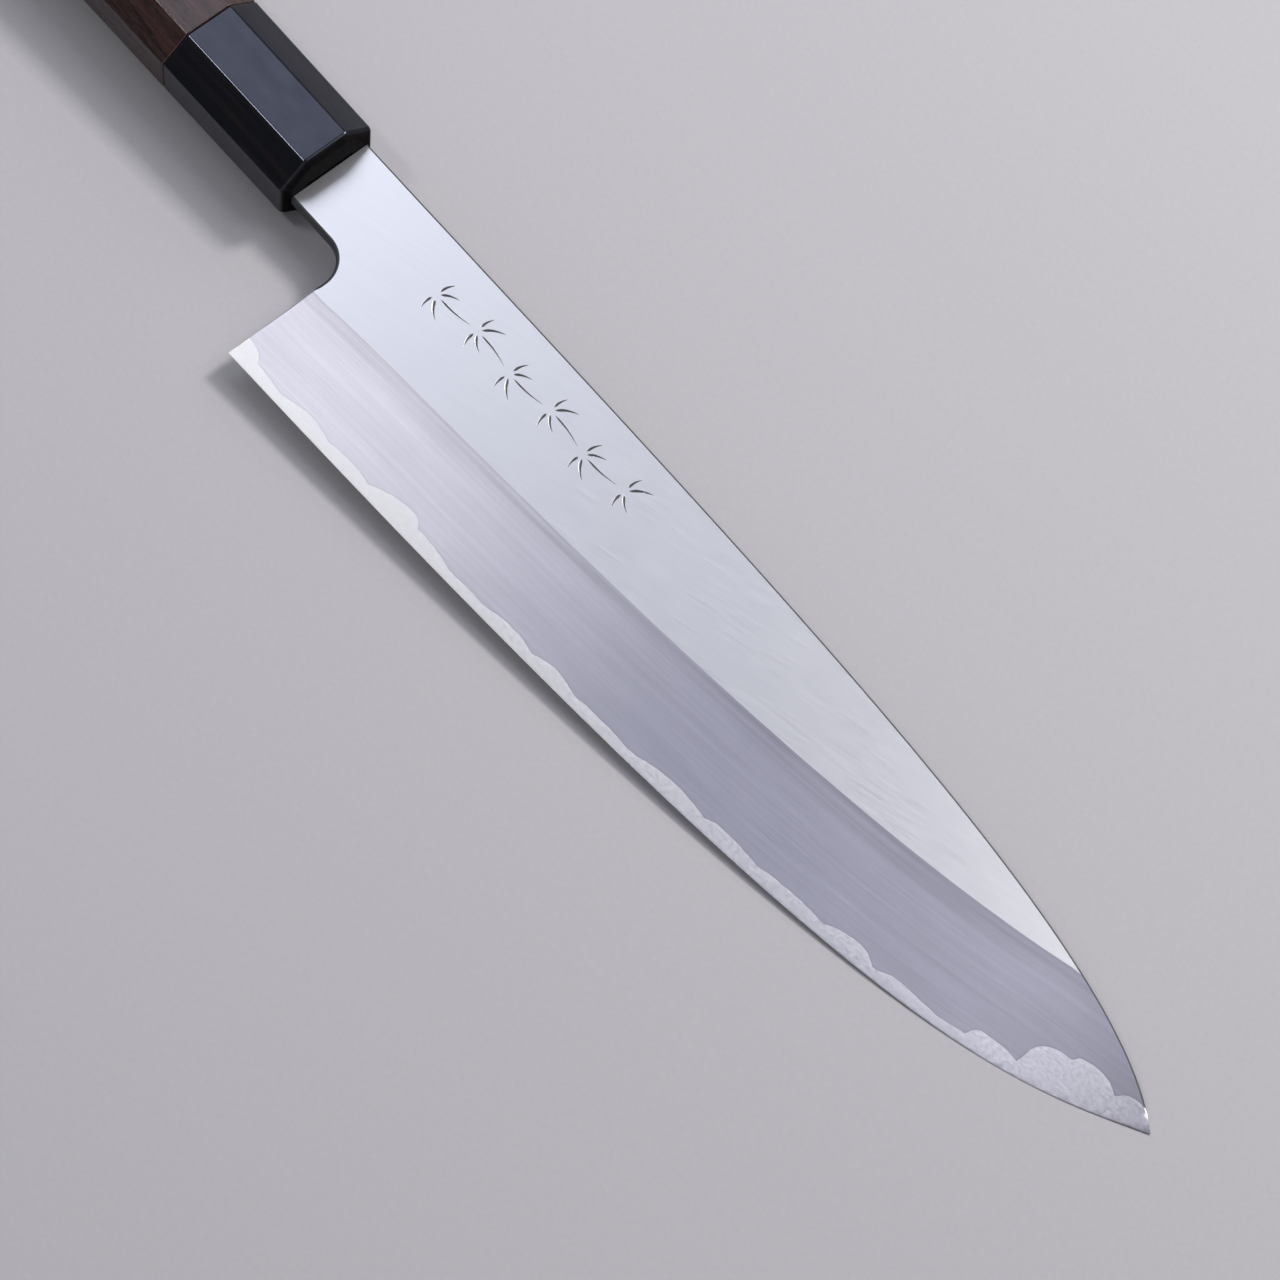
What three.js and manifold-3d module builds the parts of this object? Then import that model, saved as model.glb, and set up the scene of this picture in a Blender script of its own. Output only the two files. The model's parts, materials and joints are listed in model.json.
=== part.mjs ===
// Chef's knife of the Japanese gyuto pattern: a three-layer blade in an octagonal wooden handle.
//
// Units are millimetres. The knife is designed in its own frame: X runs from the handle to the
// tip, Y from the cutting edge to the spine, Z from the left face to the right face, and the
// handle's front face is at X = 0. The whole knife is then laid on its left side at rest on a
// table, with +Z up: the handle's lower corner and the cutting edge both touch Z = 0.

import * as THREE from 'three';
import { mergeVertices } from 'three/addons/utils/BufferGeometryUtils.js';
import Module from 'manifold-3d';

const wasm = await Module();
wasm.setup();

// Blade outline. Each line is one cubic curve from the heel end to the tip.
const TIP = [256.8, -8.9];
const CHOIL_X = 19;
const SPINE_LINE = curve([0, 9.9], [137.6, 10.4], [230.3, 11.4], TIP);
const EDGE_LINE = curve([CHOIL_X, -41.1], [215.9, -37.7], [233, -22.3], TIP);
const SHINOGI_LINE = curve([CHOIL_X, -20.6], [20, -16.6], [154.5, -18.4], [226, 2.9]);
const CHOIL_RADIUS = 7;
const CHOIL_SEGMENTS = 10;
const NECK_HALF_HEIGHT = 9.9;

// Blade thickness, as half of the whole.
const SPINE_HALF_AT_HEEL = 1.5;
const SPINE_TAPER_EVEN = 0.42;
const SPINE_TAPER_AT_TIP = 0.76;
const SPINE_TAPER_POWER = 6;
const HIRA_THINNING = 0.12;
const HIRA_HEIGHT_AT_HEEL = 30.5;
const EDGE_HALF = 0.06;
const SPINE_EASING = 0.3;

// Three-layer steel. The hard core shows along the edge below a wavy lamination line.
const LAYER_GAP = 0.02;
const CORE_RISE = 3;
const CORE_RISE_AT_HEEL = 1.4;
const HEEL_RISE_LENGTH = 8;
const CORE_RISE_AT_TIP = 6.6;
const TIP_RISE_X = 239;
const TIP_RISE_LENGTH = 9;
const WAVE_HEIGHT = 0.42;
const WAVE_LENGTHS = [4.7, 7.9, 17];
const LARGEST_SHARE_OF_BEVEL = 0.8;
const CLADDING_END_X = 248.5;
const BLADE_END_X = 256.2;
const STATION_STEP = 3.5;

// Tang, inside the handle.
const TANG_LENGTH = 78;
const TANG_HALF_HEIGHT = 5.5;
const TANG_END_HALF_HEIGHT = 3.2;
const TANG_END_HALF_THICKNESS = 1;
const SHOULDER_GAP = 0.1;

// Handle.
const HANDLE_LENGTH = 144;
const FERRULE_LENGTH = 38.7;
const FERRULE_JOINT_GAP = 0.08;
const FRONT_OCTAGON = { halfHeight: 11.8, halfThickness: 9.5, halfTopFlat: 5.3, halfSideFlat: 4.4 };
const BUTT_OCTAGON = { halfHeight: 12.7, halfThickness: 10.4, halfTopFlat: 5.8, halfSideFlat: 4.8 };
const FERRULE_CHAMFER = 1.2;
const BUTT_CHAMFER = 1.3;
const DOWEL_RADIUS = 7.5;
const DOWEL_START = 8.3;
const DOWEL_END = 84;
const DOWEL_SIDES = 40;
const BORE_CLEARANCE = 0.2;
const BORE_END_CLEARANCE = 0.3;
const SLOT_HALF_HEIGHT = 6;
const SLOT_HALF_THICKNESS = 2.3;
const RESIN_CLEARANCE = 0.1;
const RESIN_FRONT_GAP = 0.4;
const RESIN_LENGTH = 82;
// How far a cutting body reaches past the face that it opens.
const CUT_PAST = 1;

// Rest attitude on the table, in degrees.
const ROLL_TO_EDGE = 4.96;
const PITCH_TO_TIP = 1.97;

function curve(start, startHandle, endHandle, end) {
  const corners = [start, startHandle, endHandle, end].map(([x, y]) => new THREE.Vector2(x, y));
  return new THREE.CubicBezierCurve(...corners);
}

// Height of a curve over x. Beyond its ends a curve keeps its end height.
function heightAt(line, x) {
  let low = 0;
  let high = 1;
  for (let i = 0; i < 40; i += 1) {
    const middle = (low + high) / 2;
    if (line.getPoint(middle).x < x) low = middle;
    else high = middle;
  }
  return line.getPoint((low + high) / 2).y;
}

function lerp(a, b, t) {
  return a + (b - a) * THREE.MathUtils.clamp(t, 0, 1);
}

// Half the blade's thickness at the spine, with distal taper, and the tang's thinning behind it.
function spineHalf(x) {
  if (x < 0) return lerp(SPINE_HALF_AT_HEEL, TANG_END_HALF_THICKNESS, -x / TANG_LENGTH);
  const along = THREE.MathUtils.clamp((x - CHOIL_X) / (TIP[0] - CHOIL_X), 0, 1);
  const taper = SPINE_TAPER_EVEN * along + SPINE_TAPER_AT_TIP * along ** SPINE_TAPER_POWER;
  return SPINE_HALF_AT_HEEL - taper;
}

// The outer faces of the blade at one place along it: edge, shinogi (where the wide bevel
// meets the flat side) and spine, each as [height, half thickness].
function bladeSection(x) {
  const edge = heightAt(EDGE_LINE, x);
  const spine = heightAt(SPINE_LINE, x);
  const half = spineHalf(x);
  const shinogi = Math.min(heightAt(SHINOGI_LINE, x), spine - 2 * SPINE_EASING);
  const thinning = HIRA_THINNING * (spine - shinogi) / HIRA_HEIGHT_AT_HEEL;
  return { edge: [edge, EDGE_HALF], shinogi: [shinogi, half * (1 - thinning)], spine: [spine, half] };
}

// How far the lamination line stands above the cutting edge on one side.
function coreRise(x, side) {
  const [short, middling, long] = WAVE_LENGTHS.map((length) => x / length);
  const wave = Math.sin(short + side) + 0.8 * Math.sin(middling + 2 * side) + Math.sin(long - side);
  const heel = CORE_RISE_AT_HEEL * Math.exp(-Math.max(x - CHOIL_X, 0) / HEEL_RISE_LENGTH);
  const tip = CORE_RISE_AT_TIP * Math.exp(-(((x - TIP_RISE_X) / TIP_RISE_LENGTH) ** 2));
  return CORE_RISE + heel + tip + WAVE_HEIGHT * wave;
}

// The lamination line at x: its height, and the core's half thickness there.
function lamination(x, side) {
  const { edge, shinogi } = bladeSection(x);
  const bevel = (shinogi[1] - edge[1]) / (shinogi[0] - edge[0]);
  const rise = Math.min(coreRise(x, side), LARGEST_SHARE_OF_BEVEL * (shinogi[0] - edge[0]));
  return { height: edge[0] + rise, half: edge[1] + bevel * rise, bevel };
}

function stationsTo(endX) {
  const count = Math.ceil((endX + TANG_LENGTH) / STATION_STEP);
  return Array.from({ length: count + 1 }, (_, i) => -TANG_LENGTH + (i * (endX + TANG_LENGTH)) / count);
}

function coreRing(x) {
  const { edge, spine } = bladeSection(x);
  const right = lamination(x, 1);
  const left = lamination(x, -1);
  return [
    [edge[0], edge[1]],
    [right.height, right.half],
    [spine[0], right.half],
    [spine[0], -left.half],
    [left.height, -left.half],
    [edge[0], -edge[1]],
  ].map(([y, z]) => new THREE.Vector3(x, y, z));
}

// One cladding layer's section, from its sharp lower lip up the outside and down the inside.
function claddingRing(x, side) {
  const { shinogi, spine } = bladeSection(x);
  const lip = lamination(x, side);
  const inside = lip.half + LAYER_GAP;
  const points = [
    [lip.height + LAYER_GAP / lip.bevel, inside],
    shinogi,
    [spine[0] - SPINE_EASING, spine[1]],
    [spine[0], spine[1] - Math.min(SPINE_EASING, (spine[1] - inside) / 2)],
    [spine[0], inside],
  ];
  const ring = points.map(([y, z]) => new THREE.Vector3(x, y, side * z));
  return side > 0 ? ring : ring.reverse();
}

// A closed body through rings of matching points, with flat ends. A ring turns clockwise as
// seen from +X, and the rings run towards +X.
function loft(rings) {
  const count = rings[0].length;
  const positions = rings.flat().flatMap((point) => point.toArray());
  const last = (rings.length - 1) * count;
  const faces = [];
  for (let r = 0; r < last; r += count) {
    for (let i = 0; i < count; i += 1) {
      const j = (i + 1) % count;
      faces.push(r + i, r + count + j, r + j, r + i, r + count + i, r + count + j);
    }
  }
  for (let i = 1; i < count - 1; i += 1) {
    faces.push(0, i, i + 1, last, last + i + 1, last + i);
  }
  const geometry = new THREE.BufferGeometry();
  geometry.setAttribute('position', new THREE.Float32BufferAttribute(positions, 3));
  geometry.setIndex(faces);
  return geometry;
}

function toSolid(geometry) {
  const bare = geometry.clone();
  bare.deleteAttribute('normal');
  bare.deleteAttribute('uv');
  const merged = mergeVertices(bare, 1e-4);
  const vertProperties = new Float32Array(merged.attributes.position.array);
  const triVerts = new Uint32Array(merged.index.array);
  return new wasm.Manifold(new wasm.Mesh({ numProp: 3, vertProperties, triVerts }));
}

function toGeometry(solid) {
  const mesh = solid.getMesh();
  const geometry = new THREE.BufferGeometry();
  geometry.setAttribute('position', new THREE.Float32BufferAttribute(mesh.vertProperties, 3));
  geometry.setIndex(Array.from(mesh.triVerts));
  geometry.computeVertexNormals();
  return geometry;
}

// The blade's side view with its tang. Only the heel end is trimmed to it: further along the
// outline stands clear of the steel.
function sideView() {
  const clear = 25;
  const far = TIP[0] + clear;
  const below = EDGE_LINE.getPoint(0).y - clear;
  const filletX = CHOIL_X - CHOIL_RADIUS;
  const filletY = -NECK_HALF_HEIGHT - CHOIL_RADIUS;
  const outline = new THREE.Shape();
  outline.moveTo(-TANG_LENGTH, -TANG_END_HALF_HEIGHT);
  outline.lineTo(SHOULDER_GAP, -TANG_HALF_HEIGHT);
  outline.lineTo(SHOULDER_GAP, -NECK_HALF_HEIGHT);
  outline.lineTo(filletX, -NECK_HALF_HEIGHT);
  outline.absarc(filletX, filletY, CHOIL_RADIUS, Math.PI / 2, 0, true);
  outline.lineTo(CHOIL_X, below);
  outline.lineTo(far, below);
  outline.lineTo(far, clear);
  outline.lineTo(SHOULDER_GAP, clear);
  outline.lineTo(SHOULDER_GAP, TANG_HALF_HEIGHT);
  outline.lineTo(-TANG_LENGTH, TANG_END_HALF_HEIGHT);
  const depth = 4 * SPINE_HALF_AT_HEEL;
  const settings = { depth, bevelEnabled: false, curveSegments: CHOIL_SEGMENTS };
  const plate = new THREE.ExtrudeGeometry(outline, settings);
  return toSolid(plate.translate(0, 0, -depth / 2));
}

function trimmed(rings) {
  return toGeometry(toSolid(loft(rings)).intersect(sideView()));
}

function coreSteel() {
  return trimmed(stationsTo(BLADE_END_X).map((x) => coreRing(x)));
}

function cladding(side) {
  return trimmed(stationsTo(CLADDING_END_X).map((x) => claddingRing(x, side)));
}

// The handle's octagon at x, drawn in by inset all round.
function octagonRing(x, inset) {
  const along = -x / HANDLE_LENGTH;
  const size = (name) => lerp(FRONT_OCTAGON[name], BUTT_OCTAGON[name], along);
  const height = size('halfHeight');
  const thickness = size('halfThickness');
  const topFlat = size('halfTopFlat');
  const sideFlat = size('halfSideFlat');
  const corner = new THREE.Vector2(thickness - sideFlat, height - topFlat).normalize();
  const y = height - inset;
  const z = thickness - inset;
  const yTop = topFlat - (inset * (1 - corner.y)) / corner.x;
  const zSide = sideFlat - (inset * (1 - corner.x)) / corner.y;
  return [
    [-yTop, z], [yTop, z], [y, zSide], [y, -zSide],
    [yTop, -z], [-yTop, -z], [-y, -zSide], [-y, zSide],
  ].map(([py, pz]) => new THREE.Vector3(x, py, pz));
}

function rectangleRing(x, halfHeight, halfThickness) {
  return [
    new THREE.Vector3(x, -halfHeight, halfThickness),
    new THREE.Vector3(x, halfHeight, halfThickness),
    new THREE.Vector3(x, halfHeight, -halfThickness),
    new THREE.Vector3(x, -halfHeight, -halfThickness),
  ];
}

function box(fromX, toX, halfHeight, halfThickness) {
  const rings = [fromX, toX].map((x) => rectangleRing(x, halfHeight, halfThickness));
  return toSolid(loft(rings));
}

function roundBar(fromX, toX, radius) {
  const bar = new THREE.CylinderGeometry(radius, radius, toX - fromX, DOWEL_SIDES);
  bar.rotateZ(-Math.PI / 2);
  return toSolid(bar.translate((fromX + toX) / 2, 0, 0));
}

function ferrule() {
  const rings = [
    octagonRing(-FERRULE_LENGTH, 0),
    octagonRing(-FERRULE_CHAMFER, 0),
    octagonRing(0, FERRULE_CHAMFER),
  ];
  const boreStart = DOWEL_START - BORE_END_CLEARANCE;
  const bore = roundBar(-FERRULE_LENGTH - CUT_PAST, -boreStart, DOWEL_RADIUS + BORE_CLEARANCE);
  const slot = box(-boreStart - CUT_PAST, CUT_PAST, SLOT_HALF_HEIGHT, SLOT_HALF_THICKNESS);
  return toGeometry(toSolid(loft(rings)).subtract(bore).subtract(slot));
}

function handleBody() {
  const front = -FERRULE_LENGTH - FERRULE_JOINT_GAP;
  const rings = [
    octagonRing(-HANDLE_LENGTH, BUTT_CHAMFER),
    octagonRing(-HANDLE_LENGTH + BUTT_CHAMFER, 0),
    octagonRing(front, 0),
  ];
  const bore = roundBar(-DOWEL_END - BORE_END_CLEARANCE, front + CUT_PAST, DOWEL_RADIUS + BORE_CLEARANCE);
  return toGeometry(toSolid(loft(rings)).subtract(bore));
}

function dowel() {
  const slot = box(-DOWEL_END - CUT_PAST, -DOWEL_START + CUT_PAST, SLOT_HALF_HEIGHT, SLOT_HALF_THICKNESS);
  return toGeometry(roundBar(-DOWEL_END, -DOWEL_START, DOWEL_RADIUS).subtract(slot));
}

// The adhesive bed that fills the slot round the tang.
function tangResin() {
  const halfHeight = SLOT_HALF_HEIGHT - RESIN_CLEARANCE;
  const halfThickness = SLOT_HALF_THICKNESS - RESIN_CLEARANCE;
  const bed = box(-RESIN_LENGTH, -RESIN_FRONT_GAP, halfHeight, halfThickness);
  const socket = [
    [-TANG_LENGTH - RESIN_CLEARANCE, TANG_END_HALF_HEIGHT, TANG_END_HALF_THICKNESS],
    [SHOULDER_GAP, TANG_HALF_HEIGHT, SPINE_HALF_AT_HEEL],
  ].map(([x, y, z]) => rectangleRing(x, y + RESIN_CLEARANCE, z + RESIN_CLEARANCE));
  return toGeometry(bed.subtract(toSolid(loft(socket))));
}

function finish(color, roughness, metalness) {
  return new THREE.MeshStandardMaterial({ color, roughness, metalness });
}

const finishes = {
  core: finish(0xd6dbe8, 0.22, 1),
  cladding: finish(0xb4b7c6, 0.38, 1),
  horn: finish(0x17151a, 0.16, 0),
  rosewood: finish(0x4a2624, 0.45, 0),
  dowel: finish(0xb8935f, 0.7, 0),
  resin: finish(0x2b231c, 0.4, 0),
};

function piece(name, geometry, material) {
  const mesh = new THREE.Mesh(geometry, material);
  mesh.name = name;
  return mesh;
}

// Lays the knife on the table: edge side down, tip down, lowest point at Z = 0, and the middle
// of the footprint over the origin.
function laidDown(knife) {
  knife.rotation.order = 'YXZ';
  knife.rotation.x = THREE.MathUtils.degToRad(ROLL_TO_EDGE);
  knife.rotation.y = THREE.MathUtils.degToRad(PITCH_TO_TIP);
  const bounds = new THREE.Box3().setFromObject(knife, true);
  const middle = bounds.getCenter(new THREE.Vector3());
  knife.position.set(-middle.x, -middle.y, -bounds.min.z);
  return new THREE.Group().add(knife);
}

const knife = new THREE.Group().add(
  piece('core_steel', coreSteel(), finishes.core),
  piece('cladding_right', cladding(1), finishes.cladding),
  piece('cladding_left', cladding(-1), finishes.cladding),
  piece('ferrule', ferrule(), finishes.horn),
  piece('handle_body', handleBody(), finishes.rosewood),
  piece('dowel', dowel(), finishes.dowel),
  piece('tang_resin', tangResin(), finishes.resin),
);

export default laidDown(knife);
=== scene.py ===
"""Looks for the chef's knife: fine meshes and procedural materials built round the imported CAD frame.

The blade is modelled in the knife's own frame, in millimetres: X runs from the handle to the tip,
Y from the cutting edge to the spine, Z from the left face to the right face, and the handle's
front face is at X = 0. That frame and every outline are read back from the CAD nodes.
"""
import json
import math

import bmesh
import bpy
import numpy as np
from mathutils import Matrix, Vector, geometry


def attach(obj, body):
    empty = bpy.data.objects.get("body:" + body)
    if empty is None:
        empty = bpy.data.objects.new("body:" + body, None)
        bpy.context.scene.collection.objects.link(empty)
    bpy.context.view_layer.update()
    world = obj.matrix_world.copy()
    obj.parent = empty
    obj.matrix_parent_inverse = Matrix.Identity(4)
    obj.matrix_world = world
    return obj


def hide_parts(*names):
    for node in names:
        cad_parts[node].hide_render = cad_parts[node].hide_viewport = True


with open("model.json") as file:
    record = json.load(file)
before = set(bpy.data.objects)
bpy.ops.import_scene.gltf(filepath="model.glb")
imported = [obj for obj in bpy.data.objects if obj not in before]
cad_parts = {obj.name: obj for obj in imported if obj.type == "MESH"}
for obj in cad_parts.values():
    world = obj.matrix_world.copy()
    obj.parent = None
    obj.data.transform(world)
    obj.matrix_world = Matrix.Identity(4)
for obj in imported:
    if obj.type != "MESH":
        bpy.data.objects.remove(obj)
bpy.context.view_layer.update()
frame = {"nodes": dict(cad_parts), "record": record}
NODES = frame["nodes"]
MM = 0.001

# Heights that tell the CAD's corners apart, from the handle's axis: the heel hangs lower than
# the first, and the tang lies within the second.
HEEL_BELOW = -30
TANG_WITHIN = 8
# Corners this close along X belong to one cross-section, and corners this close in height to one
# level line. The blade's cross-sections start a little ahead of the heel's back face.
SECTION_GAP = 0.5
LEVEL_WITHIN = 0.015
AHEAD_OF_CHOIL = 0.3

# Blade finish, in millimetres.
EDGE_HALF = 0.02
MICRO_BEVEL_HEIGHT = 0.35
MICRO_BEVEL_HALF = 0.075
TIP_OVERHANG = 0.6
THINNEST_FLAT = 0.5

# Easing of the rims: its radius at the spine and the heel, and its largest share of the blade's
# half thickness. Towards the tip it shrinks, from EASING_FADE + EASING_END before the tip.
SPINE_EASING = 0.35
HEEL_EASING = 0.6
LARGEST_EASING_SHARE = 0.6
EASING_END = 1.5
EASING_FADE = 3
LEAST_EASING = 0.05

# The dark rim, painted shade on the rounded spine, neck and notch: how far it reaches, in easings,
# and where it fades out, at the heel (height from the handle's axis) and before the tip. The rows of
# mesh points along it are in easings, too.
RIM_REACH = 1.1
HEEL_RIM_BOTTOM = -19
HEEL_RIM_FADE = 4
RIM_END = 4.5
SPINE_RIM_FADE = 2
RIM_ROWS = (0.134, 0.5, 1, 1.2)

# The arris between flat and bevel: it starts to run into the spine where the flat is this narrow,
# it is drawn as long as it is clear of the spine, and its polish line goes straight on after it.
ARRIS_HALF_WIDTH = 0.12
ARRIS_MERGE = 1.2
ARRIS_CLEAR = 0.6
ARRIS_LEAD = 2
ARRIS_END_FLAT = 0.7
ARRIS_END_SEARCH = (200, 0.5)
ARRIS_SLOPE_OVER = 2

# The joint between core and cladding, below their surfaces.
WELD_GAP = 0.006
WELD_REACH = 0.3
CORE_BURIAL = 3 * WELD_GAP
THINNEST_CORE_SHARE = 0.3
ON_LINE = 1e-4

# Spacing of the mesh points, in millimetres, and how many lie on the neck, the notch and the heel.
BLADE_STEP = 2.2
FINE_STEP = 0.9
FINE_STEPS_FROM = 190
NECK_POINTS = 9
NOTCH_POINTS = 25
HEEL_POINTS = 17
GRID_START = (2, -40)
GRID_END = (256, 10)
GRID_STEPS = (3.1, 2.7)
# Rows beside the lamination line: one for every so many of its points, at this distance.
LAMINATION_ROWS = ((3, 0.7), (6, 1.9))
# A frame well outside the blade, to close the area above the lamination line.
FAR_TIP = 300
FAR_BUTT = -60
FAR_SPINE = 60
MERGE_WITHIN = 1e-5
SAME_HEIGHT = 1e-6

# The lamination line as rounded lobes over a low base: place of each lobe's crest along the
# edge, its reach towards the heel and towards the tip, its height, and how blunt it is (the
# smaller, the blunter).
LAMINATION_BASE = 2.05
LAMINATION_LEAD = 3
LAMINATION_STEP = 0.35
LAMINATION_END = 254.6
LAMINATION_RUN_OUT = (0.4, 3.0)
RIPPLE_HEIGHT = 0.11
RIPPLE_LENGTH = 2.6
RIPPLE_WAVES = (1, 2, 3.3, 5.1, 8)
RIPPLE_FALL = 0.7
RIGHT_LOBES = (
    (20, 6, 5, 3.1, 0.7), (25, 4, 8, 0.7, 1.2), (41, 8, 8, 1.3, 1.2), (52, 7, 8, 0.85, 1.2),
    (69.8, 11, 3.6, 3.0, 0.9), (75.5, 6, 8, 1.2, 1.0), (101, 8, 6, 1.0, 1.3), (112.6, 5, 7, 1.3, 1.2),
    (128, 8, 6, 0.4, 1.3), (146, 9, 10, 1.5, 1.2), (159.5, 5, 11, 1.35, 1.0), (178, 11, 10, 1.1, 1.2),
    (193.6, 8, 5, 2.1, 1.0), (204.5, 5, 9, 0.9, 1.2), (223, 2.7, 8.8, 2.4, 0.62),
    (236.2, 4.7, 9, 6.5, 0.28), (241.4, 2.4, 8.2, 7.2, 0.45), (251.3, 3, 4.6, 3.4, 0.6),
)
LEFT_LOBES = (
    (21, 6, 10, 2.4, 1.0), (38, 9, 5, 1.7, 1.2), (58, 6, 9, 1.2, 1.3), (84, 8, 11, 2.5, 1.5),
    (103, 5, 6, 0.9, 1.2), (121, 12, 9, 1.5, 1.3), (139, 5, 8, 1.0, 1.1), (166, 9, 12, 1.8, 1.3),
    (187, 6, 6, 1.1, 1.2), (209, 7, 4, 1.7, 0.9), (228, 3, 9, 3.0, 0.6), (239, 6, 8, 6.4, 0.4),
    (249.5, 3.5, 5.5, 3.6, 0.6),
)

# Chiselled sprig on the right flat. Its stem swings a little to either side from joint to joint.
ORNAMENT_START = 35
ORNAMENT_END = 92
ORNAMENT_JOINTS = 6
ORNAMENT_HEIGHT = -0.4
ORNAMENT_SLOPE = 0.45
JOINT_SWING = 0.6
STEM_SWING = 0.4
STEM_GAPS = (1.4, 1.3)
STEM_HALF_WIDTH = 0.3
STEM_BEND = 0.35
# Leaves at each joint of the sprig: angle from the stem (degrees), length and half width (mm).
LEAVES = ((40, 5.2, 0.44), (82, 3.4, 0.40), (-33, 4.2, 0.40), (-74, 3.6, 0.42))
LEAF_GAP = 1.0
LEAF_BEND_SHARE = 0.08
STROKE_POINTS = 9
STROKE_WIDEST = 0.2

# Handle edges, in millimetres: how far the bores reach from the axis, and each part's rounding.
INSIDE_RADIUS = 8.6
FERRULE_ROUNDING = 0.42
WOOD_ROUNDING = 0.35
ROUNDING_SEGMENTS = 5

# Angles between faces, in degrees: sharper edges stay sharp or are rounded, flatter ones go.
STAYS_SHARP = 40
GETS_ROUNDED = 25
COUNTS_AS_FLAT = 0.4

# Finishes, as linear colours.
FLAT_COLOUR = (0.80, 0.80, 0.82)
# The bevel's colour holds a painted reflection: bright at the heel, darker towards the tip.
BEVEL_PAINTED_LIGHT_AT_HEEL = (0.84, 0.815, 0.86)
BEVEL_PAINTED_SHADE_AT_TIP = (0.385, 0.385, 0.455)
# The core's colour is its own, with a painted reflection: brightest at the heel, darker towards the tip.
CORE_PAINTED_LIGHT_AT_HEEL = (1.0, 0.97, 0.93)
CORE_PAINTED_SHADE_AT_TIP = (0.80, 0.79, 0.86)
# Painted shade: the rims' dark colour stands in for shade and dark reflections on the rounded spine,
# neck and notch.
RIM_PAINTED_SHADE = (0.045, 0.05, 0.053)
GROOVE_COLOUR = (0.045, 0.045, 0.05)
HORN_BLACK = (0.006, 0.006, 0.007)
HORN_BROWN = (0.016, 0.011, 0.009)
WOOD_DARK = (0.011, 0.0048, 0.0042)
WOOD_RED = (0.052, 0.019, 0.016)
WOOD_LIGHT = (0.085, 0.036, 0.030)
FLOOR_COLOUR = (0.48, 0.47, 0.485)

# Softboxes overhead, in the knife's frame: name, place of the middle (mm), size (mm), power
# (watts) and colour.
SOFTBOXES = (
    ("left_softbox", (-745, 450, 1000), (760, 1100), 3.7, (0.93, 0.95, 1.08)),
    ("right_softbox", (405, 640, 1000), (600, 580), 3.6, (1.0, 0.955, 0.99)),
    ("ridge_lamp", (-470, -390, 1000), (320, 120), 2.2, (1.0, 1.0, 1.0)),
)
# Two more are turned towards the blade: a small one on the spine's side, low enough to draw the
# knife's shadow beside the cutting edge, and a large one further down.
SHADOW_LAMP = ("shadow_lamp", (150, 930, 880), (230, 230), 8.5, (1.0, 0.97, 0.95))
BACK_SOFTBOX = ("back_softbox", (120, 1150, 800), (1200, 1000), 4.6, (1.0, 0.99, 1.0))
# The studio's walls, in the knife's frame: dark behind the camera, with two bright sides. Each
# has its direction, where it starts (cosine of the angle from that direction) and its colour.
DARK_WALL = (0.035, 0.036, 0.04)
WALL_FULL_FROM = 0.95
BRIGHT_WALLS = (
    ((-0.6, 0.5, 0.62), -0.1, (0.19, 0.21, 0.25)),
    ((0.75, -0.6, 0.25), 0.5, (0.50, 0.50, 0.53)),
)

FLOOR_HALF_SIZE = 4.0

# Camera, relative to the knife's own frame.
CAMERA_AIM = (118.3, -17.8, 0)
CAMERA_DISTANCE = 1079
CAMERA_AZIMUTH = 42.72
CAMERA_ELEVATION = 65.5
CAMERA_ROLL = 7.66
CAMERA_LENS = 155.5
CAMERA_SENSOR = 36


# ---------------------------------------------------------------- the knife's frame, from the CAD

def mount_axis(name):
    mounts = frame["record"]["mounts"]
    return Vector(next(m for m in mounts if m["name"] == name)["axis"])


def knife_turn():
    """The knife's axes as the columns of a rotation in the row frame."""
    x = -mount_axis("butt_end").normalized()
    across = mount_axis("blade_right_face") - mount_axis("blade_left_face")
    y = across.cross(x).normalized()
    return Matrix((x, y, x.cross(y))).transposed()


TURN = knife_turn()


def node_points(node):
    co = np.array([v.co for v in NODES[node].data.vertices], float)
    return co @ np.array(TURN, float)


def knife_origin():
    dowel = node_points("dowel")
    middle = (dowel.min(0) + dowel.max(0)) / 2
    return np.array([node_points("ferrule")[:, 0].max(), middle[1], middle[2]])


ORIGIN = knife_origin()
TO_ROW = TURN.to_4x4() @ Matrix.Translation(Vector(ORIGIN)) @ Matrix.Scale(MM, 4)


def knife_points(node):
    """A CAD node's corners in the knife's own frame, in millimetres, each once."""
    return np.unique(np.round((node_points(node) - ORIGIN) / MM, 2), axis=0)


def sections(points):
    """Points grouped into the CAD's cross-sections along X, in order."""
    points = points[np.argsort(points[:, 0])]
    cuts = np.where(np.diff(points[:, 0]) > SECTION_GAP)[0] + 1
    return np.split(points, cuts)


def smooth_line(xs, ys):
    """A smooth curve through points, level beyond its ends."""
    xs, ys = np.array(xs, float), np.array(ys, float)
    slopes = np.gradient(ys, xs)

    def at(x):
        x = np.clip(np.asarray(x, float), xs[0], xs[-1])
        i = np.clip(np.searchsorted(xs, x) - 1, 0, len(xs) - 2)
        step = xs[i + 1] - xs[i]
        t = (x - xs[i]) / step
        start = ys[i] * (1 + 2 * t) * (1 - t) ** 2 + slopes[i] * step * t * (1 - t) ** 2
        end = ys[i + 1] * t * t * (3 - 2 * t) + slopes[i + 1] * step * t * t * (t - 1)
        return start + end

    return at


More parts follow.
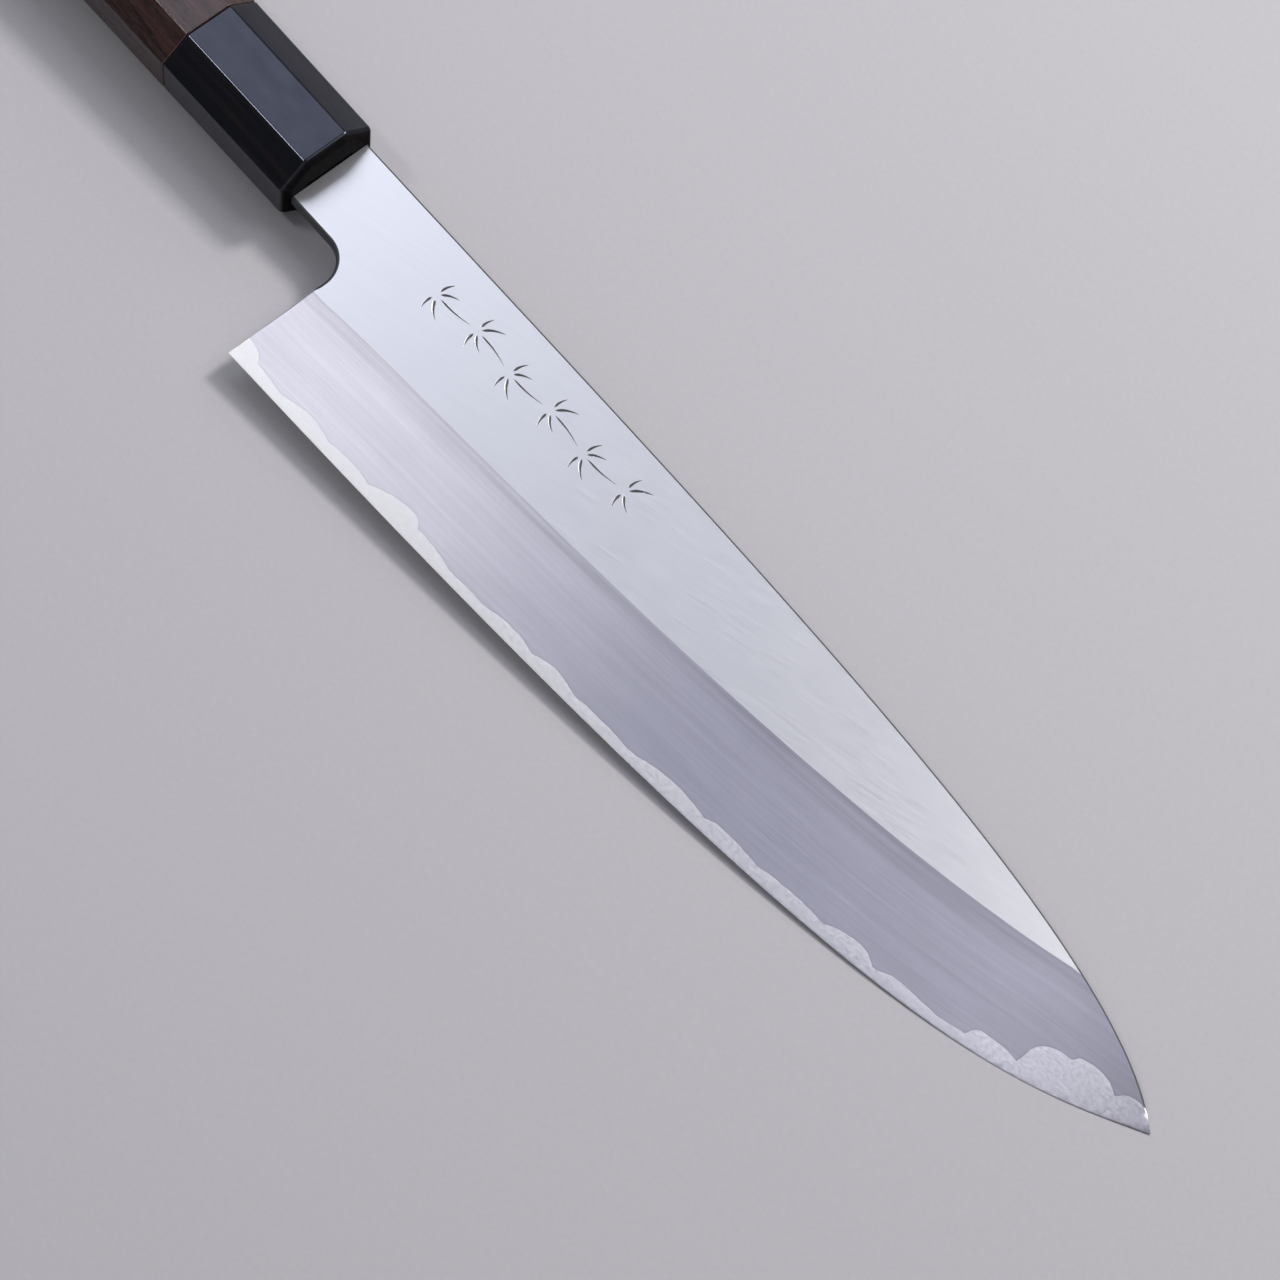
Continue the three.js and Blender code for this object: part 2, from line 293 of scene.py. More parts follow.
CORE_POINTS = knife_points("core_steel")
CLAD_POINTS = knife_points("cladding_right")
CHOIL_X = CORE_POINTS[CORE_POINTS[:, 1] < HEEL_BELOW][:, 0].min()
NECK_START = CORE_POINTS[np.abs(CORE_POINTS[:, 1]) > TANG_WITHIN][:, 0].min()
NECK_BOTTOM = CORE_POINTS[CORE_POINTS[:, 0] < NECK_START + 1][:, 1].min()
ON_NECK_BOTTOM = np.abs(CORE_POINTS[:, 1] - NECK_BOTTOM) < LEVEL_WITHIN
NECK_FLAT_END = CORE_POINTS[ON_NECK_BOTTOM][:, 0].max()


def line_of(rows, column):
    """One column of the rows as a smooth curve over X."""
    return smooth_line([row[0] for row in rows], [row[column] for row in rows])


def core_rows():
    """x, edge height and spine height at each of the core's sections ahead of the choil."""
    groups = sections(CORE_POINTS[CORE_POINTS[:, 0] > CHOIL_X + AHEAD_OF_CHOIL])
    return [(g[:, 0].mean(), g[:, 1].min(), g[:, 1].max()) for g in groups]


def cladding_rows():
    """x, shinogi height, half thickness there, and half thickness at the spine."""
    rows = []
    for group in sections(CLAD_POINTS[CLAD_POINTS[:, 0] > CHOIL_X + AHEAD_OF_CHOIL]):
        shinogi = sorted(group.tolist(), key=lambda point: point[1])[1]
        rows.append((*shinogi, group[:, 2].max()))
    end = CORE_POINTS[CORE_POINTS[:, 0] > CORE_POINTS[:, 0].max() - SECTION_GAP]
    x, spine, half = end.max(0)
    rows.append((x, spine, half, half))
    return rows


CORE_ROWS = core_rows()
CLADDING_ROWS = cladding_rows()

edge_line = line_of(CORE_ROWS, 1)
spine_line = line_of(CORE_ROWS, 2)
shinogi_cad = line_of(CLADDING_ROWS, 1)
shinogi_half = line_of(CLADDING_ROWS, 2)
spine_half = line_of(CLADDING_ROWS, 3)
BLADE_END = CORE_ROWS[-1][0]
TIP = np.array([BLADE_END + TIP_OVERHANG, (CORE_ROWS[-1][1] + CORE_ROWS[-1][2]) / 2])


def shinogi_line(x):
    """The arris between flat and bevel. It runs out into the spine near the tip."""
    flat = spine_line(x) - shinogi_cad(x)
    return shinogi_cad(x) + np.clip(ARRIS_MERGE - flat, 0, ARRIS_MERGE / 2)


LAST_PART = np.arange(ARRIS_END_SEARCH[0], BLADE_END, ARRIS_END_SEARCH[1])
ARRIS_END = LAST_PART[spine_line(LAST_PART) - shinogi_cad(LAST_PART) < ARRIS_END_FLAT][0]
ARRIS_RISE = float(shinogi_cad(ARRIS_END) - shinogi_cad(ARRIS_END - ARRIS_SLOPE_OVER))
ARRIS_SLOPE = ARRIS_RISE / ARRIS_SLOPE_OVER


def polish_line(x):
    """The line that the bevel's polish follows: the arris, carried straight on past its end."""
    return shinogi_cad(np.minimum(x, ARRIS_END)) + ARRIS_SLOPE * np.maximum(x - ARRIS_END, 0)


# ---------------------------------------------------------------- the blade's faces

def bevel_slope(x):
    """How fast the wide bevel's half thickness grows with height."""
    height = shinogi_line(x) - edge_line(x) - MICRO_BEVEL_HEIGHT
    return (shinogi_half(x) - MICRO_BEVEL_HALF) / height


def bevel_half(x, y):
    """Half thickness of the wide bevel, with the small bevel that makes the cutting edge."""
    rise = np.maximum(y - edge_line(x), 0)
    wide = MICRO_BEVEL_HALF + bevel_slope(x) * (rise - MICRO_BEVEL_HEIGHT)
    small = EDGE_HALF + (MICRO_BEVEL_HALF - EDGE_HALF) * rise / MICRO_BEVEL_HEIGHT
    return np.minimum(wide, small)


def flat_half(x, y):
    """Half thickness of the flat side above the arris."""
    height = np.maximum(spine_line(x) - shinogi_line(x), THINNEST_FLAT)
    up = np.clip((y - shinogi_line(x)) / height, 0, 1)
    return shinogi_half(x) + (spine_half(x) - shinogi_half(x)) * up


def rounded(distance, radius):
    """How far a face falls away at this distance from a rounded rim."""
    inside = np.clip(radius - distance, 0, radius)
    return radius - np.sqrt(np.maximum(radius**2 - inside**2, 0))


def faded(distance, length):
    """0 up to the start, then rising evenly to 1 over this length."""
    return np.clip(distance / length, 0, 1)


def distance_to(line, points):
    """Distance of each point from a polyline."""
    line, points = np.array(line), np.array(points)
    start, along = line[:-1], np.diff(line, axis=0)
    best = np.full(len(points), np.inf)
    for a, d in zip(start, along):
        t = np.clip(((points - a) @ d) / max(d @ d, 1e-12), 0, 1)
        best = np.minimum(best, np.linalg.norm(points - a - t[:, None] * d, axis=1))
    return best


# ---------------------------------------------------------------- the blade's side view

def heel_rim():
    """The lower side of the neck, the rounded notch and the straight heel, from the handle down."""
    radius = CHOIL_X - NECK_FLAT_END
    middle = np.array([NECK_FLAT_END, NECK_BOTTOM - radius])
    neck = [(x, NECK_BOTTOM) for x in np.linspace(NECK_START, NECK_FLAT_END, NECK_POINTS)]
    turns = np.radians(np.linspace(90, 0, NOTCH_POINTS)[1:])
    notch = [tuple(middle + radius * np.array([math.cos(a), math.sin(a)])) for a in turns]
    heel_bottom = float(edge_line(CHOIL_X))
    heel = [(CHOIL_X, y) for y in np.linspace(middle[1], heel_bottom, HEEL_POINTS)[1:]]
    return np.array(neck + notch + heel)


def blade_steps():
    """Places along the blade, closer together towards the tip."""
    wide = np.arange(CHOIL_X, FINE_STEPS_FROM, BLADE_STEP)
    fine = np.arange(FINE_STEPS_FROM, BLADE_END, FINE_STEP)
    return np.concatenate([wide, fine, [BLADE_END]])


def cutting_edge():
    steps = blade_steps()
    return np.column_stack([steps, edge_line(steps)])


def spine_rim():
    steps = np.concatenate([np.linspace(NECK_START, CHOIL_X, NECK_POINTS)[:-1], blade_steps()])
    return np.column_stack([steps, spine_line(steps)])


def outline():
    """The side view, anticlockwise, from the neck at the handle."""
    return np.vstack([heel_rim(), cutting_edge()[1:], [TIP], spine_rim()[::-1]])


def lobes_at(s, lobes):
    """Height of the highest lobe over each place along the edge."""
    rise = np.zeros_like(s)
    for crest, before, after, height, bluntness in lobes:
        reach = np.where(s < crest, before, after)
        inside = np.clip(1 - ((s - crest) / reach) ** 2, 0, 1)
        rise = np.maximum(rise, height * inside**bluntness)
    return rise


def ripple(s, seed):
    """The fine unevenness of the lamination line."""
    rng = np.random.default_rng(seed)
    waves = np.zeros_like(s)
    for k in RIPPLE_WAVES:
        size = rng.uniform(0.4, 1) / k**RIPPLE_FALL
        waves += size * np.sin(s * k / RIPPLE_LENGTH + rng.uniform(0, 2 * math.pi))
    return waves


def lamination_line(lobes, seed):
    """Where the cladding ends above the cutting edge: rounded lobes with a fine uneven border."""
    s = np.arange(CHOIL_X - LAMINATION_LEAD, LAMINATION_END, LAMINATION_STEP)
    rise = LAMINATION_BASE + lobes_at(s, lobes) + RIPPLE_HEIGHT * ripple(s, seed)
    height = edge_line(s)
    slope = np.gradient(height, s)
    length = np.hypot(1, slope)
    points = np.column_stack([s - rise * slope / length, height + rise / length])
    return np.vstack([points, points[-1] + LAMINATION_RUN_OUT])


def offset(line, distance):
    """The polyline moved to its left."""
    along = np.gradient(line, axis=0)
    along /= np.linalg.norm(along, axis=1)[:, None]
    return line + distance * np.column_stack([-along[:, 1], along[:, 0]])


def inside(polygon, points):
    """Which points lie inside a closed polygon."""
    result = np.zeros(len(points), bool)
    x, y = points[:, 0], points[:, 1]
    for (ax, ay), (bx, by) in zip(polygon, np.roll(polygon, -1, axis=0)):
        crosses = (ay > y) != (by > y)
        with np.errstate(divide="ignore", invalid="ignore"):
            result ^= crosses & (x < (bx - ax) * (y - ay) / (by - ay) + ax)
    return result


# ---------------------------------------------------------------- ornament

def stroke(start, end, width, bend):
    """One chiselled cut: a slim leaf outline and its deepest line, as (outline, ridge, depths)."""
    start, end = np.array(start, float), np.array(end, float)
    t = np.linspace(0, 1, STROKE_POINTS)
    along = end - start
    across = np.array([-along[1], along[0]]) / np.linalg.norm(along)
    ridge = start + t[:, None] * along + np.outer(bend * np.sin(np.pi * t), across)
    swell = width * np.minimum(t / STROKE_WIDEST, 1) ** 0.7 * (1 - t) ** 0.75
    upper = ridge + np.outer(swell, across)
    lower = ridge - np.outer(swell, across)
    return np.vstack([upper, lower[-2:0:-1]]), ridge[1:-1], ORNAMENT_SLOPE * swell[1:-1]


def ornament_strokes():
    """A plain spray of slim leaves: a stem in short joints, with four leaves at each joint."""
    strokes = []
    stations = np.linspace(ORNAMENT_START, ORNAMENT_END, ORNAMENT_JOINTS)
    step = stations[1] - stations[0]
    for i, x in enumerate(stations):
        side = 1 if i % 2 else -1
        y = ORNAMENT_HEIGHT + JOINT_SWING * side
        if i < ORNAMENT_JOINTS - 1:
            start = (x + STEM_GAPS[0], y)
            end = (x + step - STEM_GAPS[1], ORNAMENT_HEIGHT - STEM_SWING * side)
            strokes.append(stroke(start, end, STEM_HALF_WIDTH, STEM_BEND * side))
        for turn, length, width in LEAVES:
            angle = math.radians(turn * side)
            away = np.array([math.cos(angle), math.sin(angle)])
            root = np.array([x, y]) + LEAF_GAP * away
            bend = LEAF_BEND_SHARE * length * math.copysign(1, turn * side)
            strokes.append(stroke(root, root + length * away, width, bend))
    return strokes


# ---------------------------------------------------------------- from side view to solid

class Plan:
    """The blade's side view cut into triangles that keep the lines drawn on it."""

    def __init__(self):
        self.points = []
        self.lines = []
        self.depths = []

    def add(self, points, closed=False, depths=None):
        first = len(self.points)
        self.points += [tuple(p) for p in points]
        self.depths += list(depths) if depths is not None else [0.0] * len(points)
        self.lines += [(first + i, first + i + 1) for i in range(len(points) - 1)]
        if closed:
            self.lines.append((first + len(points) - 1, first))

    def scatter(self, points):
        self.points += [tuple(p) for p in points]
        self.depths += [0.0] * len(points)

    def cut(self):
        """(points, triangles, depth at each point)"""
        corners = [Vector(p) for p in self.points]
        found = geometry.delaunay_2d_cdt(corners, self.lines, [], 0, MERGE_WITHIN)
        depth = [max([self.depths[i] for i in ids], default=0.0) for ids in found[3]]
        triangles = [face for face in found[2] if len(face) == 3]
        return np.array([v[:] for v in found[0]]), np.array(triangles), np.array(depth)


def base_plan(laminations):
    """The side view with the lines that every layer of the blade needs."""
    plan = Plan()
    plan.add(outline(), closed=True)
    steps = blade_steps()
    plan.add(np.column_stack([steps, edge_line(steps) + MICRO_BEVEL_HEIGHT])[:-1])
    for lamination in laminations:
        plan.add(lamination)
        for every, distance in LAMINATION_ROWS:
            plan.scatter(offset(lamination[2:-1:every], distance))
    clear = spine_line(steps) - shinogi_line(steps) > ARRIS_CLEAR
    arris = np.column_stack([steps, shinogi_line(steps)])[clear]
    arris = np.vstack([arris[0] - [ARRIS_LEAD, 0], arris])
    for shift in (-ARRIS_HALF_WIDTH, 0, ARRIS_HALF_WIDTH):
        plan.add(arris + [0, shift])
    for share in RIM_ROWS:
        plan.add(offset(heel_rim(), HEEL_EASING * share)[:-1])
        plan.add(offset(spine_rim(), -SPINE_EASING * share)[:-4])
    along, up = (np.arange(*limits) for limits in zip(GRID_START, GRID_END, GRID_STEPS))
    grid = np.column_stack([np.repeat(along, len(up)), np.tile(up, len(along))])
    plan.scatter(grid[inside(outline(), grid)])
    return plan


def blade_plan(laminations, strokes=()):
    """(points, triangles inside the outline, depth of the cuts at each point)"""
    plan = base_plan(laminations)
    for border, ridge, depths in strokes:
        plan.add(border, closed=True)
        plan.add(ridge, depths=depths)
    points, triangles, depth = plan.cut()
    middles = points[triangles].mean(1)
    kept = triangles[inside(outline(), middles)]
    return points, kept, depth


def above(lamination, points):
    """Which points lie on the spine side of a lamination line."""
    closing = [[FAR_TIP, FAR_SPINE], [FAR_BUTT, FAR_SPINE], [FAR_BUTT, lamination[0][1]]]
    return inside(np.vstack([lamination, closing]), points)


def blade_surface(points):
    """Half thickness of the whole blade over the side view, with its rims rounded."""
    x, y = points.T
    half = np.minimum(bevel_half(x, y), flat_half(x, y))
    largest = LARGEST_EASING_SHARE * half
    heel = rounded(distance_to(heel_rim(), points), np.minimum(HEEL_EASING, largest))
    easing = SPINE_EASING * np.clip((TIP[0] - EASING_END - x) / EASING_FADE, LEAST_EASING, 1)
    spine = rounded(distance_to(spine_rim(), points), np.minimum(easing, largest))
    return half - np.maximum(heel, spine)


def rim(points):
    """Painted shade: 1 on the rounded spine, neck and notch, 0 on the faces, the straight heel and the
    tip.
    """
    x, y = points.T
    spine = RIM_REACH - distance_to(spine_rim(), points) / SPINE_EASING
    heel = RIM_REACH - distance_to(heel_rim(), points) / HEEL_EASING
    heel = heel * faded(y - HEEL_RIM_BOTTOM, HEEL_RIM_FADE)
    spine = spine * faded(TIP[0] - RIM_END - x, SPINE_RIM_FADE)
    return np.clip(np.maximum(spine, heel), 0, 1)


def core_surface(points, lamination):
    """(half thickness of the core, distance above the lamination line). Below that line the core
    has the blade's own face, and above it the core lies under the cladding."""
    x, y = points.T
    face = blade_surface(points)
    depth = distance_to(lamination, points) * above(lamination, points)
    depth[depth < ON_LINE] = 0
    under = bevel_half(x, y) - bevel_slope(x) * depth
    buried = np.minimum(under, face - CORE_BURIAL * faded(depth, WELD_REACH))
    return np.where(depth > 0, np.maximum(buried, THINNEST_CORE_SHARE * face), face), depth


def solid(name, points, triangles, top, bottom, extra=None):
    """A closed mesh between two heights over the side view. Where they meet, it ends in a lip."""
    used = np.unique(triangles)
    number = {}
    corners = []

    def corner(i, z, layer):
        key = (i, 0 if top[i] - bottom[i] < SAME_HEIGHT else layer)
        if key not in number:
            number[key] = len(corners)
            corners.append((points[i][0], points[i][1], z))
        return number[key]

    upper = {i: corner(i, top[i], 1) for i in used}
    lower = {i: corner(i, bottom[i], 2) for i in used}
    faces = []
    sides = {}
    for a, b, c in triangles:
        if (upper[a], upper[b], upper[c]) == (lower[a], lower[b], lower[c]):
            continue
        faces.append((upper[a], upper[b], upper[c]))
        faces.append((lower[c], lower[b], lower[a]))
        for pair in ((a, b), (b, c), (c, a)):
            sides[pair] = True
    for a, b in sides:
        if (b, a) not in sides:
            wall = [upper[b], upper[a], lower[a], lower[b]]
            faces.append(tuple(dict.fromkeys(wall)))
    faces = [f for f in faces if len(set(f)) > 2]
    mesh = bpy.data.meshes.new(name)
    mesh.from_pydata([tuple(TO_ROW @ Vector(c)) for c in corners], [], faces)
    write_attributes(mesh, np.array(corners), number, extra or {})
    return finished_piece(name, mesh)


def write_attributes(mesh, corners, number, extra):
    """Knife coordinates and blade distances at each corner, for the materials."""
    place = mesh.attributes.new("knife", "FLOAT_VECTOR", "POINT")
    place.data.foreach_set("vector", corners.astype(np.float32).ravel())
    below = mesh.attributes.new("below_arris", "FLOAT", "POINT")
    values = polish_line(corners[:, 0]) - corners[:, 1]
    below.data.foreach_set("value", values.astype(np.float32))
    source = np.zeros(len(corners), int)
    for (i, _), n in number.items():
        source[n] = i
    for name, per_point in extra.items():
        attribute = mesh.attributes.new(name, "FLOAT", "POINT")
        attribute.data.foreach_set("value", per_point[source].astype(np.float32))


def crease_grooves(mesh):
    """Marks the borders of the chiselled cuts as sharp, so that the flat round them stays flat."""
    groove = [item.value > 0 for item in mesh.attributes["groove"].data]
    faces_of = {}
    for face in mesh.polygons:
        cut = any(groove[i] for i in face.vertices)
        for key in face.edge_keys:
            faces_of.setdefault(key, set()).add(cut)
    for edge in mesh.edges:
        if len(faces_of[edge.key]) == 2:
            edge.use_edge_sharp = True


def finished_piece(name, mesh):
    """The mesh as a smoothly shaded object in the scene."""
    mesh.validate()
    mesh.shade_smooth()
    mesh.set_sharp_from_angle(angle=math.radians(STAYS_SHARP))
    if "groove" in mesh.attributes:
        crease_grooves(mesh)
    piece = bpy.data.objects.new(name, mesh)
    bpy.context.scene.collection.objects.link(piece)
    weighted = piece.modifiers.new("weighted_normals", "WEIGHTED_NORMAL")
    weighted.keep_sharp = True
    weighted.weight = 90
    return piece


def make_cladding(name, lamination, side, strokes):
    """One soft layer: side is 1 for the right, -1 for the left."""
    points, triangles, depth = blade_plan([lamination], strokes)
    triangles = triangles[above(lamination, points[triangles].mean(1))]
    inner, reach = core_surface(points, lamination)
    gap = WELD_GAP * faded(reach, WELD_REACH)
    outer = np.maximum(blade_surface(points) - depth, inner + 2 * gap)
    extra = {"from_lamination": reach, "groove": (depth > 0).astype(float), "rim": rim(points)}
    if side > 0:
        return solid(name, points, triangles, outer, inner + gap, extra)
    return solid(name, points, triangles, -inner - gap, -outer, extra)


def make_core(name, right, left):
    """The hard layer, bare below each side's lamination line."""
    points, triangles, _ = blade_plan([right, left])
    top, _ = core_surface(points, right)
    bottom, _ = core_surface(points, left)
    return solid(name, points, triangles, top, -bottom, {"rim": rim(points)})


# ---------------------------------------------------------------- handle

def softened_copy(name, node, radius):
    """A CAD node's own shape with its outer edges rounded."""
    mesh = NODES[node].data.copy()
    mesh.name = name
    mesh.materials.clear()
    shape = bmesh.new()
    shape.from_mesh(mesh)
    bmesh.ops.remove_doubles(shape, verts=shape.verts, dist=2e-6)
    flat = math.radians(COUNTS_AS_FLAT)
    bmesh.ops.dissolve_limit(shape, angle_limit=flat, verts=shape.verts, edges=shape.edges)
    to_knife = TO_ROW.inverted()

    def outer_edge(edge):
        places = [to_knife @ corner.co for corner in edge.verts]
        is_outer = min(math.hypot(place.y, place.z) for place in places) > INSIDE_RADIUS
        return is_outer and edge.calc_face_angle(0) > math.radians(GETS_ROUNDED)

    bmesh.ops.bevel(
        shape,
        geom=[edge for edge in shape.edges if outer_edge(edge)],
        offset=radius * MM,
        segments=ROUNDING_SEGMENTS,
        profile=0.5,
        affect="EDGES",
    )
    shape.to_mesh(mesh)
    shape.free()
    places = np.array([(to_knife @ v.co)[:] for v in mesh.vertices], np.float32)
    attribute = mesh.attributes.new("knife", "FLOAT_VECTOR", "POINT")
    attribute.data.foreach_set("vector", places.ravel())
    return finished_piece(name, mesh)


# ---------------------------------------------------------------- materials

class Nodes:
    """Small helper that adds and joins shader nodes."""

    def __init__(self, name):
        self.material = bpy.data.materials.new(name)
        self.material.use_nodes = True
        self.tree = self.material.node_tree
        self.shader = self.tree.nodes["Principled BSDF"]

    def add(self, kind, inputs=(), **settings):
        node = self.tree.nodes.new(kind)
        for key, value in settings.items():
            setattr(node, key, value)
        for key, value in dict(inputs).items():
            self.put(node.inputs[key], value)
        return node

    def put(self, socket, value):
        if isinstance(value, bpy.types.NodeSocket):
            self.tree.links.new(value, socket)
        else:
            socket.default_value = value

    def set(self, **inputs):
        for key, value in inputs.items():
            self.put(self.shader.inputs[key.replace("_", " ")], value)

    def attribute(self, name, output="Fac"):
        return self.add("ShaderNodeAttribute", attribute_name=name).outputs[output]

    def math(self, operation, a, b):
        return self.add("ShaderNodeMath", {0: a, 1: b}, operation=operation).outputs[0]

    def inverse(self, share):
        return self.math("SUBTRACT", 1.0, share)

    def stretched(self, vector, scale, turn=0.0):
        """Coordinates turned about Z by degrees and scaled."""
        turned = self.add(
            "ShaderNodeMapping", {"Vector": vector, "Rotation": (0, 0, math.radians(turn))}
        ).outputs[0]
        return self.add("ShaderNodeMapping", {"Vector": turned, "Scale": scale}).outputs[0]

    def noise(self, vector, detail, roughness=0.5):
        inputs = {"Vector": vector, "Scale": 1.0, "Detail": detail, "Roughness": roughness}
        return self.add("ShaderNodeTexNoise", inputs).outputs["Fac"]

    def ramp(self, value, low, high):
        """0 below low, 1 above high, smooth between."""
        inputs = {"Value": value, "From Min": low, "From Max": high}
        node = self.add("ShaderNodeMapRange", inputs, interpolation_type="SMOOTHSTEP")
        return node.outputs[0]

    def span(self, value, low, high, to_low, to_high):
        inputs = {"Value": value, "From Min": low, "From Max": high, "To Min": to_low, "To Max": to_high}
        return self.add("ShaderNodeMapRange", inputs).outputs[0]

    def spread(self, noise, to_low, to_high):
        """A noise, which lies mostly between 0.3 and 0.7, stretched to another range."""
        return self.span(noise, 0.3, 0.7, to_low, to_high)

    def mix(self, share, a, b):
        """A colour between a and b."""
        node = self.add("ShaderNodeMix", data_type="RGBA")
        self.put(node.inputs["Factor"], share)
        self.put(node.inputs[6], (*a, 1) if isinstance(a, tuple) else a)
        self.put(node.inputs[7], (*b, 1) if isinstance(b, tuple) else b)
        return node.outputs[2]

    def mix_value(self, share, a, b):
        node = self.add("ShaderNodeMix", data_type="FLOAT")
        self.put(node.inputs["Factor"], share)
        self.put(node.inputs[2], a)
        self.put(node.inputs[3], b)
        return node.outputs[0]

    def tint(self, colour, value):
        """The colour times a grey value."""
        node = self.add("ShaderNodeVectorMath", operation="SCALE")
        self.put(node.inputs[0], colour)
        self.put(node.inputs["Scale"], value)
        return node.outputs[0]

    def bump(self, height, strength, distance):
        inputs = {"Height": height, "Strength": strength, "Distance": distance}
        return self.add("ShaderNodeBump", inputs).outputs["Normal"]


def along_blade(nodes):
    """The direction of the grinding lines, in the row frame."""
    return nodes.add("ShaderNodeCombineXYZ", dict(enumerate(TURN.col[0]))).outputs[0]


def streak_coordinates(nodes):
    """(coordinates that follow the arris, the place along the blade). In the first, X runs along
    the blade and Y is the distance below the arris."""
    place = nodes.add("ShaderNodeSeparateXYZ", {0: nodes.attribute("knife", "Vector")})
    inputs = {0: place.outputs[0], 1: nodes.attribute("below_arris"), 2: place.outputs[2]}
    return nodes.add("ShaderNodeCombineXYZ", inputs).outputs[0], place.outputs[0]


def tip_shade(nodes, along):
    """A grey value that darkens the steel a little towards the tip."""
    return nodes.inverse(nodes.math("MULTIPLY", nodes.ramp(along, 215, 256), 0.28))


def rim_shade_mask(nodes):
    """1 on the rims painted with shade, 0 elsewhere."""
    return nodes.ramp(nodes.attribute("rim"), 0.0, 0.03)


def cladding_material():
    """The soft layers: a satin flat above the arris and a hazy bevel below it."""
    nodes = Nodes("cladding_steel")
    place = nodes.attribute("knife", "Vector")
    streaks, along = streak_coordinates(nodes)
    below = nodes.attribute("below_arris")
    on_bevel = nodes.ramp(below, -0.06, 0.16)

    # Flat: satin, with very fine hairlines slightly across the blade and a soft unevenness.
    hair = nodes.noise(nodes.stretched(place, (0.10, 4, 0), turn=-14), detail=3, roughness=0.6)
    wide_hair = nodes.noise(nodes.stretched(place, (0.03, 0.9, 0), turn=-14), detail=3)
    fine_grey = nodes.spread(hair, 0.985, 1.015)
    flat_grey = nodes.math("ADD", fine_grey, nodes.spread(wide_hair, -0.012, 0.012))
    flat = nodes.tint(FLAT_COLOUR, flat_grey)
    flat_rough = nodes.spread(hair, 0.29, 0.34)

    # Bevel: hazy stone finish, streaked along the arris and darker just below it.
    fine = nodes.noise(nodes.stretched(streaks, (0.045, 6.5, 0)), detail=6, roughness=0.7)
    broad = nodes.noise(nodes.stretched(streaks, (0.013, 0.85, 0)), detail=3, roughness=0.55)
    cloud = nodes.noise(nodes.stretched(place, (0.05, 0.11, 0)), detail=4, roughness=0.6)
    under_arris = nodes.inverse(nodes.ramp(below, 0.2, 6.0))
    haze = nodes.spread(fine, 0.91, 1.06)
    haze = nodes.math("ADD", haze, nodes.spread(broad, -0.06, 0.05))
    haze = nodes.math("ADD", haze, nodes.spread(cloud, -0.03, 0.03))
    shade = nodes.math("MULTIPLY", under_arris, nodes.span(broad, 0.35, 0.6, 0.20, 0.10))
    haze = nodes.math("SUBTRACT", haze, shade)
    away = nodes.ramp(nodes.attribute("from_lamination"), 0.05, 0.55)
    near_line = nodes.inverse(away)
    haze = nodes.math("SUBTRACT", haze, nodes.math("MULTIPLY", near_line, 0.09))
    haze = nodes.math("MULTIPLY", haze, tip_shade(nodes, along))
    # Painted reflection: the bevel's colour runs from bright at the heel to darker towards the tip.
    bevel = nodes.tint(nodes.mix(nodes.ramp(along, 25, 152), BEVEL_PAINTED_LIGHT_AT_HEEL, BEVEL_PAINTED_SHADE_AT_TIP), haze)
    bevel_rough = nodes.spread(fine, 0.40, 0.52)

    groove = nodes.ramp(nodes.attribute("groove"), 0.03, 0.3)
    colour = nodes.mix(on_bevel, flat, bevel)
    colour = nodes.mix(nodes.math("MULTIPLY", groove, 0.95), colour, GROOVE_COLOUR)
    # The rounded rims get painted shade.
    rim_shade_share = rim_shade_mask(nodes)
    colour = nodes.mix(rim_shade_share, colour, RIM_PAINTED_SHADE)
    # The chiselled cuts are dull, and so is the painted shade on the rims.
    dull_and_rim_shade = nodes.math("MAXIMUM", rim_shade_share, groove)
    height = nodes.mix_value(on_bevel, nodes.math("MULTIPLY", hair, 0.05), fine)
    roughness = nodes.mix_value(on_bevel, flat_rough, bevel_rough)
    nodes.set(
        Base_Color=colour,
        Metallic=nodes.inverse(nodes.math("MULTIPLY", dull_and_rim_shade, 0.75)),
        Roughness=nodes.mix_value(dull_and_rim_shade, roughness, 0.5),
        Anisotropic=0.35,
        Tangent=along_blade(nodes),
        Normal=nodes.bump(height, 0.08, 0.00003),
    )
    return nodes.material


def core_material():
    """The hard steel along the edge: brighter, with fine stone marks and a faint mottle."""
    nodes = Nodes("core_steel")
    place = nodes.attribute("knife", "Vector")
    streaks, along = streak_coordinates(nodes)
    fine = nodes.noise(nodes.stretched(streaks, (0.06, 7, 0)), detail=6, roughness=0.7)
    cross = nodes.noise(nodes.stretched(place, (0.5, 5, 0), turn=-35), detail=4, roughness=0.6)
    mottle = nodes.noise(nodes.stretched(place, (1.1, 1.6, 0)), detail=5, roughness=0.6)
    grey = nodes.spread(fine, 0.96, 1.03)
    grey = nodes.math("ADD", grey, nodes.spread(cross, -0.02, 0.02))
    grey = nodes.math("ADD", grey, nodes.spread(mottle, -0.025, 0.025))
    grey = nodes.math("MULTIPLY", grey, tip_shade(nodes, along))
    # The rounded rims get painted shade.
    rim_shade_share = rim_shade_mask(nodes)
    # Painted reflection: the core's colour runs from brightest at the heel to darker towards the tip.
    steel = nodes.tint(nodes.mix(nodes.ramp(along, 50, 235), CORE_PAINTED_LIGHT_AT_HEEL, CORE_PAINTED_SHADE_AT_TIP), grey)
    nodes.set(
        Base_Color=nodes.mix(rim_shade_share, steel, RIM_PAINTED_SHADE),
        Metallic=nodes.inverse(nodes.math("MULTIPLY", rim_shade_share, 0.75)),
        Roughness=nodes.mix_value(rim_shade_share, nodes.spread(mottle, 0.30, 0.40), 0.5),
        Anisotropic=0.3,
        Tangent=along_blade(nodes),
        Normal=nodes.bump(nodes.math("ADD", fine, cross), 0.06, 0.00003),
    )
    return nodes.material


